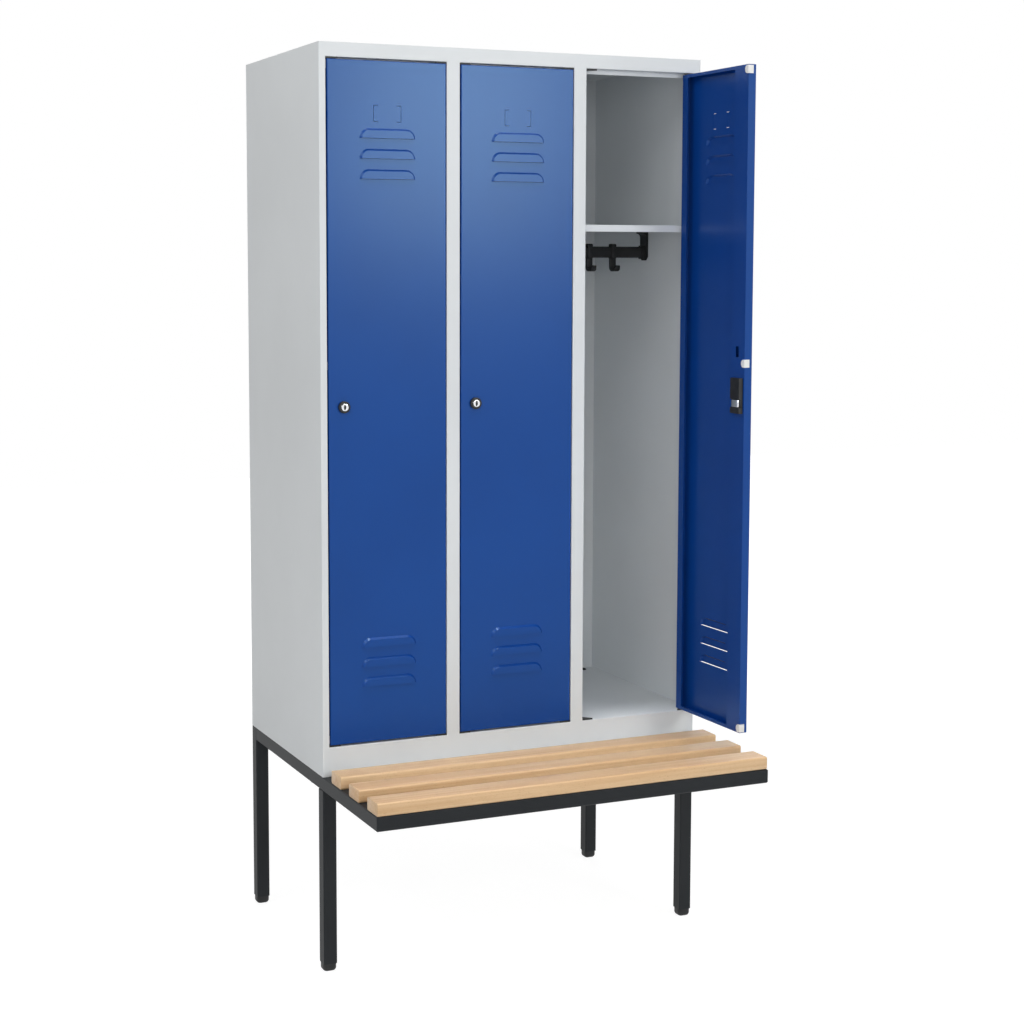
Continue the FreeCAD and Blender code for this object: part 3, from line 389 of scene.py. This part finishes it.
def addDoorPiece(name, bm, slot, bay, carrier, *replaced):
    # a piece drawn in the door's own frame, carried by this bay's door, plug or bolt
    bmesh.ops.transform(bm, matrix=doorPlace(bay), verts=bm.verts)
    addPiece(f"{name}_{bay}", bm, slot, f"{carrier}_{bay}", *(f"{node}_{bay}" for node in replaced))


# Bench slats: rounded along the grain, eased at the sawn ends

slat = {"nodes": ("front_slat", "middle_slat", "rear_slat"), "edgeRound": 0.004, "edgeSegments": 5,
        "endRound": 0.0012, "endSegments": 2}


def makeSlat(node):
    low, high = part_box(node)
    bm = bmesh.new()
    edges = addBlock(bm, low, high)
    bevelEdges(bm, [edge for edge in edges if runsAlong(edge, 0)], slat["edgeRound"], slat["edgeSegments"])
    ends = [edge for edge in bm.edges if liesAt(edge, 0, low.x) or liesAt(edge, 0, high.x)]
    bevelEdges(bm, ends, slat["endRound"], slat["endSegments"])
    addPiece("bench_" + node, bm, "beech", "cabinet", node)


for slatNode in slat["nodes"]:
    makeSlat(slatNode)
print("bench slats:", len(slat["nodes"]))


# Foot glides: a block with a rounded sole under each leg, and its plug in the tube

glide = {"size": 0.030, "height": 0.017, "soleRound": 0.0075, "cornerRound": 0.0095, "segments": 6,
         "plugInset": 0.0021, "plugHeight": 0.020}


def addGlide(bm, corner):
    size = Vector((glide["size"], glide["size"], glide["height"]))
    upright = [edge for edge in addBlock(bm, corner, corner + size) if runsAlong(edge, 2)]
    made = bevelEdges(bm, upright, glide["cornerRound"], glide["segments"])
    sole = [edge for edge in edgesOf(made["verts"]) if liesAt(edge, 2, corner.z)]
    bevelEdges(bm, sole, glide["soleRound"], glide["segments"])
    inset = Vector((glide["plugInset"], glide["plugInset"], 0))
    plugLow = corner + inset + Vector((0, 0, glide["height"]))
    plugHigh = corner + size - inset + Vector((0, 0, glide["plugHeight"]))
    addBlock(bm, plugLow, plugHigh)


def makeGlides():
    bm = bmesh.new()
    low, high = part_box("foot_glides")
    for x in (low.x, high.x - glide["size"]):
        for y in (low.y, high.y - glide["size"]):
            addGlide(bm, Vector((x, y, low.z)))
    addPiece("legGlides", bm, "black_plastic", "cabinet", "foot_glides")


makeGlides()
print("foot glides: one under each leg")


# Screws up through the side rails into the slats, and the bolts that hold the carcass

slatScrew = {"headWidth": 0.008, "headHeight": 0.0035, "headEase": 0.0006,
             "washer": 0.013, "washerHeight": 0.0012, "washerEase": 0.0003}
carcassBolt = {"headWidth": 0.013, "headHeight": 0.0055, "headEase": 0.0006,
               "washer": 0.018, "washerHeight": 0.0016, "washerEase": 0.0003, "setback": (0.100, 0.400)}
hexHead = {"sides": 6, "easeSegments": 2}


def addHexHead(bm, spot, bolt):
    # a hexagon head on a washer, hung under spot; the head's width is across its flats
    washerSeat = Matrix.Translation(spot - Vector((0, 0, bolt["washerHeight"] / 2)))
    washer = addRod(bm, bolt["washer"] / 2, bolt["washerHeight"], roundSteps, washerSeat)
    headSeat = Matrix.Translation(spot - Vector((0, 0, bolt["washerHeight"] + bolt["headHeight"] / 2)))
    head = addRod(bm, bolt["headWidth"] / math.sqrt(3), bolt["headHeight"], hexHead["sides"], headSeat)
    for edges, ease in ((washer, bolt["washerEase"]), (head, bolt["headEase"])):
        rims = [edge for edge in edges if not runsAlong(edge, 2)]
        bevelEdges(bm, rims, ease, hexHead["easeSegments"])


def makeFasteners():
    screws = bmesh.new()
    bolts = bmesh.new()
    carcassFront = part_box("left_side_panel")[0].y
    for rail in ("left_side_rail", "right_side_rail"):
        low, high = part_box(rail)
        middle = (low.x + high.x) / 2
        for node in slat["nodes"]:
            slatLow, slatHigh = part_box(node)
            addHexHead(screws, Vector((middle, (slatLow.y + slatHigh.y) / 2, low.z)), slatScrew)
        for setback in carcassBolt["setback"]:
            addHexHead(bolts, Vector((middle, carcassFront + setback, low.z)), carcassBolt)
    addPiece("slatScrews", screws, "zinc_steel", "cabinet")
    addPiece("carcassBolts", bolts, "zinc_steel", "cabinet")


makeFasteners()
print("fasteners: slat screws and carcass bolts")


# Black caps on the floor panel, over the two bolts in its rear corners

boltCap = {"inset": 0.037, "setback": 0.022, "radius": 0.0085, "height": 0.0045, "arcSteps": 6}


def makeBoltCaps():
    bm = bmesh.new()
    left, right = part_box("left_side_panel")[0].x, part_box("right_side_panel")[1].x
    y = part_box("rear_rail")[1].y - boltCap["setback"]
    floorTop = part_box("floor_panel")[1].z
    arc = quarterArc(boltCap["radius"], boltCap["height"], boltCap["arcSteps"])
    outline = [(0, 0, 0)] + [(across, 0, up) for across, up in arc]
    for x in (left + boltCap["inset"], right - boltCap["inset"]):
        spinRound(bm, outline, (0, 0, 1), Vector((x, y, floorTop)))
    addPiece("boltCaps", bm, "black_plastic", "cabinet")


makeBoltCaps()
print("bolt caps: 2")


# Coat hooks: a band round the bar and a crook that turns up towards the door

hook = {
    "seats": (1, 2, 3),
    "bandDepth": 0.0176, "bandHeight": 0.0316, "bandInset": 0.002, "bandRise": 0.0035,
    "bandRound": 0.0045, "bandSegments": 5, "wall": 0.0025, "ease": 0.0006, "easeSegments": 2,
    "legWidth": 0.016, "thickness": 0.008, "legRound": 0.0022, "legSegments": 3, "neck": 0.018,
    "heel": 0.007, "heelSteps": 6, "sole": 0.007,
    "lift": 0.010, "liftTurn": math.radians(42), "liftSteps": 4,
    "tip": 0.010, "tipWidth": 0.010, "tipThickness": 0.0036, "tipRound": 0.0012, "tipSegments": 2,
}


def addBand(bm, low, high):
    # a rounded sleeve with a thick crown, hollowed from both ends
    edges = addBlock(bm, low, high)
    bevelEdges(bm, [edge for edge in edges if runsAlong(edge, 0)], hook["bandRound"], hook["bandSegments"])
    ends = [face for face in bm.faces if abs(face.normal.x) > straightEnough]
    bmesh.ops.inset_individual(bm, faces=ends, thickness=hook["wall"])
    crown = [vert for face in ends for vert in face.verts if vert.co.z > (low.z + high.z) / 2]
    bmesh.ops.translate(bm, verts=crown, vec=Vector((0, 0, -hook["bandRise"])))
    loops = [edge for face in ends for edge in face.edges]
    bmesh.ops.delete(bm, geom=ends, context="FACES_ONLY")
    bmesh.ops.bridge_loops(bm, edges=loops)
    rims = [edge for edge in bm.edges
            if isFold(edge) and (liesAt(edge, 0, low.x) or liesAt(edge, 0, high.x))]
    bevelEdges(bm, rims, hook["ease"], hook["easeSegments"])


def turnFaces(bm, faces, centre, angle, steps):
    made = bmesh.ops.spin(bm, geom=faces, cent=centre, axis=(1, 0, 0), angle=angle, steps=steps,
                          use_merge=False, use_duplicate=False)
    bmesh.ops.delete(bm, geom=faces, context="FACES_ONLY")
    return [item for item in made["geom_last"] if isinstance(item, bmesh.types.BMFace)]


def drawOn(bm, faces, step):
    # faces grown on, with no wall left across the stem
    grown = growFaces(bm, faces, step)
    bmesh.ops.delete(bm, geom=faces, context="FACES_ONLY")
    return grown


def addLegSection(bm, centre):
    # a flat oblong with rounded corners, which the crook is drawn from
    wide, deep = hook["legWidth"] / 2, hook["thickness"] / 2
    plan = ((-wide, -deep), (wide, -deep), (wide, deep), (-wide, deep))
    corners = [bm.verts.new(centre + Vector((x, y, 0))) for x, y in plan]
    bm.faces.new(corners)
    rounded = bmesh.ops.bevel(bm, geom=corners, offset=hook["legRound"], offset_type="OFFSET",
                              affect="VERTICES", segments=hook["legSegments"], profile=0.5, material=-1)
    return list({face for vert in rounded["verts"] for face in vert.link_faces})


def addCrook(bm, start, legEnd):
    # the section led down the leg, round the heel and up to a wedge tip
    foot = growFaces(bm, addLegSection(bm, start), legEnd - start)
    foot = turnFaces(bm, foot, legEnd - Vector((0, hook["heel"], 0)), -quarterTurn, hook["heelSteps"])
    foot = drawOn(bm, foot, Vector((0, -hook["sole"], 0)))
    soleEnd = legEnd - Vector((0, hook["heel"] + hook["sole"], hook["heel"]))
    liftCentre = soleEnd + Vector((0, 0, hook["lift"]))
    foot = turnFaces(bm, foot, liftCentre, -hook["liftTurn"], hook["liftSteps"])
    rise = Vector((0, -math.cos(hook["liftTurn"]), math.sin(hook["liftTurn"])))
    tip = drawOn(bm, foot, rise * hook["tip"])
    verts = list({vert for face in tip for vert in face.verts})
    centre = sum((vert.co for vert in verts), Vector()) / len(verts)
    thin = hook["tipThickness"] / hook["thickness"]
    bmesh.ops.scale(bm, verts=verts, vec=Vector((hook["tipWidth"] / hook["legWidth"], thin, thin)),
                    space=Matrix.Translation(-centre))
    bevelEdges(bm, {edge for face in tip for edge in face.edges}, hook["tipRound"], hook["tipSegments"])


def makeHook(bay, seat):
    node = f"coat_hook_{bay}_{seat}"
    low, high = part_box(node)
    inset = Vector((hook["bandInset"], 0, 0))
    bandLow = Vector((low.x, high.y - hook["bandDepth"], high.z - hook["bandHeight"])) + inset
    bandHigh = high - inset + Vector((0, 0, hook["bandRise"]))
    middle = (bandLow + bandHigh) / 2
    bm = bmesh.new()
    addBand(bm, bandLow, bandHigh)
    addCrook(bm, Vector((middle.x, middle.y, bandLow.z + hook["wall"] / 2)),
             Vector((middle.x, middle.y, bandLow.z - hook["neck"])))
    addPiece(f"coatHook_{bay}_{seat}", bm, "black_plastic", f"hook_{bay}_{seat}", node)


for bayName in bays:
    for hookSeat in hook["seats"]:
        makeHook(bayName, hookSeat)
print("coat hooks:", len(bays) * len(hook["seats"]))


# Lock collars: a ring turned with a soft front edge, and the barrel behind it

collar = {"edgeRound": 0.0016, "edgeSteps": 4, "boreEase": 0.0004, "barrelRadius": 0.0098,
          "boreRadius": 0.0088, "proud": 0.005, "reach": 0.0025}


def lockFace():
    # the middle of a collar's front, in the door's own frame
    low, high = doorBox("lock_barrel")
    return Vector(((low.x + high.x) / 2, low.y - collar["reach"], (low.z + high.z) / 2))


def makeCollar(bay):
    low, high = doorBox("lock_barrel")
    front = lockFace()
    radius = (high.x - low.x) / 2
    doorSkin = low.y + collar["proud"]
    bore, barrel, edge = collar["boreRadius"], collar["barrelRadius"], collar["edgeRound"]
    profile = [(bore, high.y), (barrel, high.y), (barrel, doorSkin), (radius, doorSkin)]
    for across, up in quarterArc(edge, edge, collar["edgeSteps"]):
        profile.append((radius - edge + across, front.y + edge - up))
    profile += [(bore + collar["boreEase"], front.y), (bore, front.y + collar["boreEase"]), profile[0]]
    bm = bmesh.new()
    spinRound(bm, [(across, y, 0) for across, y in profile], (0, 1, 0), Vector((front.x, 0, front.z)))
    addDoorPiece("lockCollar", bm, "black_plastic", bay, "door", "lock_barrel")


for bayName in bays:
    makeCollar(bayName)
print("lock collars:", len(bays))


# Key plates: a bright face on each plug, with a lens-shaped keyway over a thin black disc of painted shade, which
# stands in for the dark depth of the key slot

keyPlate = {"radius": 0.0076, "thickness": 0.0006, "slotWidth": 0.0052, "slotHeight": 0.0140,
            "ease": 0.0002, "easeSegments": 2, "paintedShadeThickness": 0.0002, "paintedShadeRadius": 0.0086}


def makeKeyPlate(bay):
    bm = bmesh.new()
    bmesh.ops.create_circle(bm, segments=roundSteps, radius=keyPlate["radius"], matrix=layDown)
    made = bmesh.ops.extrude_edge_only(bm, edges=list(bm.edges))
    for vert in (item for item in made["geom"] if isinstance(item, bmesh.types.BMVert)):
        across, up = vert.co.x / keyPlate["radius"], vert.co.z / keyPlate["radius"]
        lens = across * abs(across)  # squared, so the keyway is pointed at both ends
        vert.co = (keyPlate["slotWidth"] / 2 * lens, 0, keyPlate["slotHeight"] / 2 * up)
    growFaces(bm, list(bm.faces), Vector((0, -keyPlate["thickness"], 0)))
    lips = [edge for edge in bm.edges if isFold(edge) and liesAt(edge, 1, -keyPlate["thickness"])]
    bevelEdges(bm, lips, keyPlate["ease"], keyPlate["easeSegments"])
    seat = lockFace() - Vector((0, keyPlate["paintedShadeThickness"], 0))
    bmesh.ops.translate(bm, verts=bm.verts, vec=seat)
    addDoorPiece("keyPlate", bm, "lock_chrome", bay, "plug")


# a thin black disc just behind the keyway: painted shade where the deep key slot would fall dark
def makeKeywayPaintedShade(bay):
    bm = bmesh.new()
    seat = Matrix.Translation(lockFace() - Vector((0, keyPlate["paintedShadeThickness"] / 2, 0)))
    addRod(bm, keyPlate["paintedShadeRadius"], keyPlate["paintedShadeThickness"], roundSteps, seat @ layDown)
    addDoorPiece("keywayPaintedShade", bm, "black_plastic", bay, "plug")


for bayName in bays:
    makeKeyPlate(bayName)
    makeKeywayPaintedShade(bayName)
print("key plates and shutters:", len(bays), "each")


# Lock works seen on the inside: a flat black case, the bolt in its channel, and the plug's plain body

lockCase = {"lead": 0.028, "trail": 0.007, "drop": 0.0215, "height": 0.076, "depth": 0.0100,
            "channel": 0.0170, "ease": 0.0009, "easeSegments": 3}
latchBolt = {"lead": 0.0235, "length": 0.0255, "height": 0.0160, "play": 0.0003, "ease": 0.0012,
             "easeSegments": 3}
plugBody = {"radius": 0.00875, "ease": 0.0005, "easeSegments": 2}


def makeLockCase(bay, centre, back):
    foot = centre.z - lockCase["drop"]
    head = foot + lockCase["height"]
    deep = back + lockCase["depth"]
    floor = doorBox("lock_bolt")[0].y - latchBolt["play"]
    low, high = centre.z - lockCase["channel"] / 2, centre.z + lockCase["channel"] / 2
    section = [(back, foot), (deep, foot), (deep, low), (floor, low),
               (floor, high), (deep, high), (deep, head), (back, head)]
    bm = bmesh.new()
    end = bm.faces.new([bm.verts.new((centre.x - lockCase["lead"], y, z)) for y, z in section])
    growFaces(bm, [end], Vector((lockCase["lead"] + lockCase["trail"], 0, 0)))
    rims = [edge for edge in bm.edges if liesAt(edge, 1, deep)]
    bevelEdges(bm, rims, lockCase["ease"], lockCase["easeSegments"])
    addDoorPiece("lockCover", bm, "black_plastic", bay, "door", "lock_case")


def makeLatchBolt(bay, centre, back):
    half = latchBolt["height"] / 2
    left, front = centre.x - latchBolt["lead"], doorBox("lock_bolt")[0].y
    deep = back + lockCase["depth"] - latchBolt["play"]
    bm = bmesh.new()
    edges = addBlock(bm, Vector((left, front, centre.z - half)),
                     Vector((left + latchBolt["length"], deep, centre.z + half)))
    bevelEdges(bm, edges, latchBolt["ease"], latchBolt["easeSegments"])
    addDoorPiece("latchBolt", bm, "lock_chrome", bay, "bolt", "lock_bolt")


def makePlugBody(bay, centre, back):
    bm = bmesh.new()
    length = back - centre.y
    seat = Matrix.Translation(centre + Vector((0, length / 2, 0)))
    edges = addRod(bm, plugBody["radius"], length, roundSteps, seat @ layDown)
    rims = [edge for edge in edges if not runsAlong(edge, 1)]
    bevelEdges(bm, rims, plugBody["ease"], plugBody["easeSegments"])
    addDoorPiece("plugBody", bm, "lock_chrome", bay, "plug", "lock_plug")


for bayName in bays:
    for makeWork in (makeLockCase, makeLatchBolt, makePlugBody):
        makeWork(bayName, lockFace(), doorBox("lock_case")[0].y)
print("lock works:", len(bays), "cases, bolts and plugs")


# Door bumpers: soft pads clipped round the lock edge, with a round inner end

bumper = {"gauge": 0.0018, "wing": 0.0112, "height": 0.017, "rise": 0.086,
          "endRound": 0.0080, "endSegments": 6, "edgeRound": 0.0014, "edgeSegments": 3}


def addBumper(bm, side, back, foot):
    # an angle in plan, drawn up from its foot
    inner, outer = side + bumper["wing"], side - bumper["gauge"]
    near, far = back - bumper["wing"], back + bumper["gauge"]
    plan = [(side, near), (side, back), (inner, back), (inner, far), (outer, far), (outer, near)]
    base = bm.faces.new([bm.verts.new((x, y, foot)) for x, y in plan])
    top = growFaces(bm, [base], Vector((0, 0, bumper["height"])))
    edges = edgesOf(vert for face in (base, *top) for vert in face.verts)
    ends = [edge for edge in edges if runsAlong(edge, 1) and liesAt(edge, 0, inner)]
    corner = [edge for edge in edges if liesAt(edge, 0, outer) and liesAt(edge, 1, far)]
    bevelEdges(bm, ends, bumper["endRound"], bumper["endSegments"])
    bevelEdges(bm, corner, bumper["edgeRound"], bumper["edgeSegments"])


def makeBumpers(bay):
    low, high = doorBox("door_bumpers")
    middleFoot = lockFace().z + bumper["rise"] - bumper["height"] / 2
    bm = bmesh.new()
    for foot in (low.z, middleFoot, high.z - bumper["height"]):
        addBumper(bm, low.x + bumper["gauge"], high.y - bumper["gauge"], foot)
    addDoorPiece("doorBumpers", bm, "white_plastic", bay, "door", "door_bumpers")


for bayName in bays:
    makeBumpers(bayName)
print("door bumpers: three on each of", len(bays), "doors")


# Floor, light and camera

floorSettings = {
    "name": "paleFloor", "size": 9.0, "level": -0.0002,
    "light": paint(244, 244, 244), "shade": paint(240, 240, 240), "mottleScale": 3.0, "mottleDetail": 3.0,
    "roughness": 0.8, "specular": 0.0,
    "whiteShare": 0.75, "whiteLevel": 1.2, "fadeStart": 1.1, "fadeEnd": 2.6,
}
lamps = {
    "frontSoftbox": {"spot": (2.0, -5.0, 2.42), "aim": (2.0, 0.0, 2.42),
                     "width": 1.30, "height": 1.45, "watts": 72},
    "topSoftbox": {"spot": (0.9, -1.0, 4.00), "aim": (0.0, -0.1, 1.00),
                   "width": 2.2, "height": 1.0, "watts": 18},
    "leftFront": {"spot": (-3.0, -3.6, 1.80), "aim": (0.2, 0.0, 1.00),
                  "width": 2.4, "height": 2.4, "watts": 17},
    "highLeft": {"spot": (-1.3, -2.2, 3.80), "aim": (0.3, 0.0, 0.90),
                 "width": 1.6, "height": 1.2, "watts": 12},
    "highFront": {"spot": (-1.5, -4.3, 1.90), "aim": (0.3, 0.2, 1.00),
                  "width": 1.8, "height": 1.6, "watts": 24},
    "leftHigh": {"spot": (-2.5, -0.6, 3.50), "aim": (-0.4, 0.0, 1.50),
                 "width": 1.6, "height": 1.6, "watts": 25},
    "backFill": {"spot": (1.2, 4.2, 2.60), "aim": (0.0, 0.4, 1.00),
                 "width": 2.4, "height": 2.0, "watts": 40},
    "bayFill": {"spot": (-1.4, -3.5, 1.60), "aim": (0.4, 0.20, 0.60),
                "width": 0.8, "height": 0.8, "watts": 0.5, "spread": 30},
    "benchLight": {"spot": (0.0, -0.36, 5.00), "aim": (0.0, -0.35, 0.00),
                   "width": 1.8, "height": 0.4, "watts": 1.6, "spread": 15},
}
fullSpread = 180
worldLight = 0.23
view = {"spot": (-1.73676, -3.75993, 1.49815), "turn": -0.40682, "tip": 0.09194,
        "lens": 65.8956, "sensor": 36.0, "shiftX": 0.06, "shiftY": -0.07}


def seenDirectly(start):
    # one for rays that show the surroundings, nought for those that only light
    path = start.make("LightPath", {}, {}, "Is Camera Ray")
    return path.either(path.beside("Is Glossy Ray")).either(path.beside("Is Transmission Ray"))


def floorFinish():
    # pale and matt, fading to plain white away from the object
    constants = {"Roughness": floorSettings["roughness"], "Specular IOR Level": floorSettings["specular"]}
    finish, shader, place = newFinish(floorSettings["name"], constants)
    mottle = place.noise(floorSettings["mottleScale"], floorSettings["mottleDetail"])
    mottle.tint(floorSettings["shade"], floorSettings["light"]).into(shader, "Base Color")
    glow = place.make("Emission", {}, {"Color": white, "Strength": floorSettings["whiteLevel"]})
    away = place.make("VectorMath", {"operation": "LENGTH"}, {0: place}, "Value")
    fade = away.rise(floorSettings["fadeStart"], floorSettings["fadeEnd"])
    share = seenDirectly(place) * fade.either(floorSettings["whiteShare"])
    surface = Wire(finish.node_tree, shader.outputs["BSDF"])
    mixed = place.make("MixShader", {}, {0: share, 1: surface, 2: glow})
    mixed.into(finish.node_tree.nodes["Material Output"], "Surface")
    return finish


def makeFloor():
    bm = bmesh.new()
    level = Matrix.Translation((0, 0, floorSettings["level"]))
    bmesh.ops.create_grid(bm, x_segments=1, y_segments=1, size=floorSettings["size"], matrix=level)
    mesh = bpy.data.meshes.new("floor")
    bm.to_mesh(mesh)
    bm.free()
    mesh.materials.append(floorFinish())
    floor = bpy.data.objects.new("floor", mesh)
    scene.collection.objects.link(floor)


def makeLamp(name, lamp):
    light = bpy.data.lights.new(name, "AREA")
    light.shape = "RECTANGLE"
    light.size = lamp["width"]
    light.size_y = lamp["height"]
    light.energy = lamp["watts"]
    light.spread = math.radians(lamp.get("spread", fullSpread))
    stand = bpy.data.objects.new(name, light)
    stand.location = lamp["spot"]
    beam = Vector(lamp["aim"]) - Vector(lamp["spot"])
    stand.rotation_euler = beam.to_track_quat("-Z", "Y").to_euler()
    stand.visible_camera = False
    scene.collection.objects.link(stand)


def makeWorld():
    world = bpy.data.worlds.new("whiteStudio")
    world.use_nodes = True
    background = world.node_tree.nodes["Background"]
    background.inputs["Color"].default_value = white
    shown = seenDirectly(Wire(world.node_tree))
    (worldLight + shown * (1 - worldLight)).into(background, "Strength")
    scene.world = world


def makeCamera():
    lens = bpy.data.cameras.new("photoView")
    lens.lens = view["lens"]
    lens.sensor_width = view["sensor"]
    lens.shift_x = view["shiftX"]
    lens.shift_y = view["shiftY"]
    camera = bpy.data.objects.new("photoView", lens)
    camera.location = view["spot"]
    camera.rotation_euler = (quarterTurn - view["tip"], 0, view["turn"])
    scene.collection.objects.link(camera)
    scene.camera = camera


makeFloor()
for lampName, lampSettings in lamps.items():
    makeLamp(lampName, lampSettings)
makeWorld()
makeCamera()
print("stage: floor,", len(lamps), "lamps, world and camera")
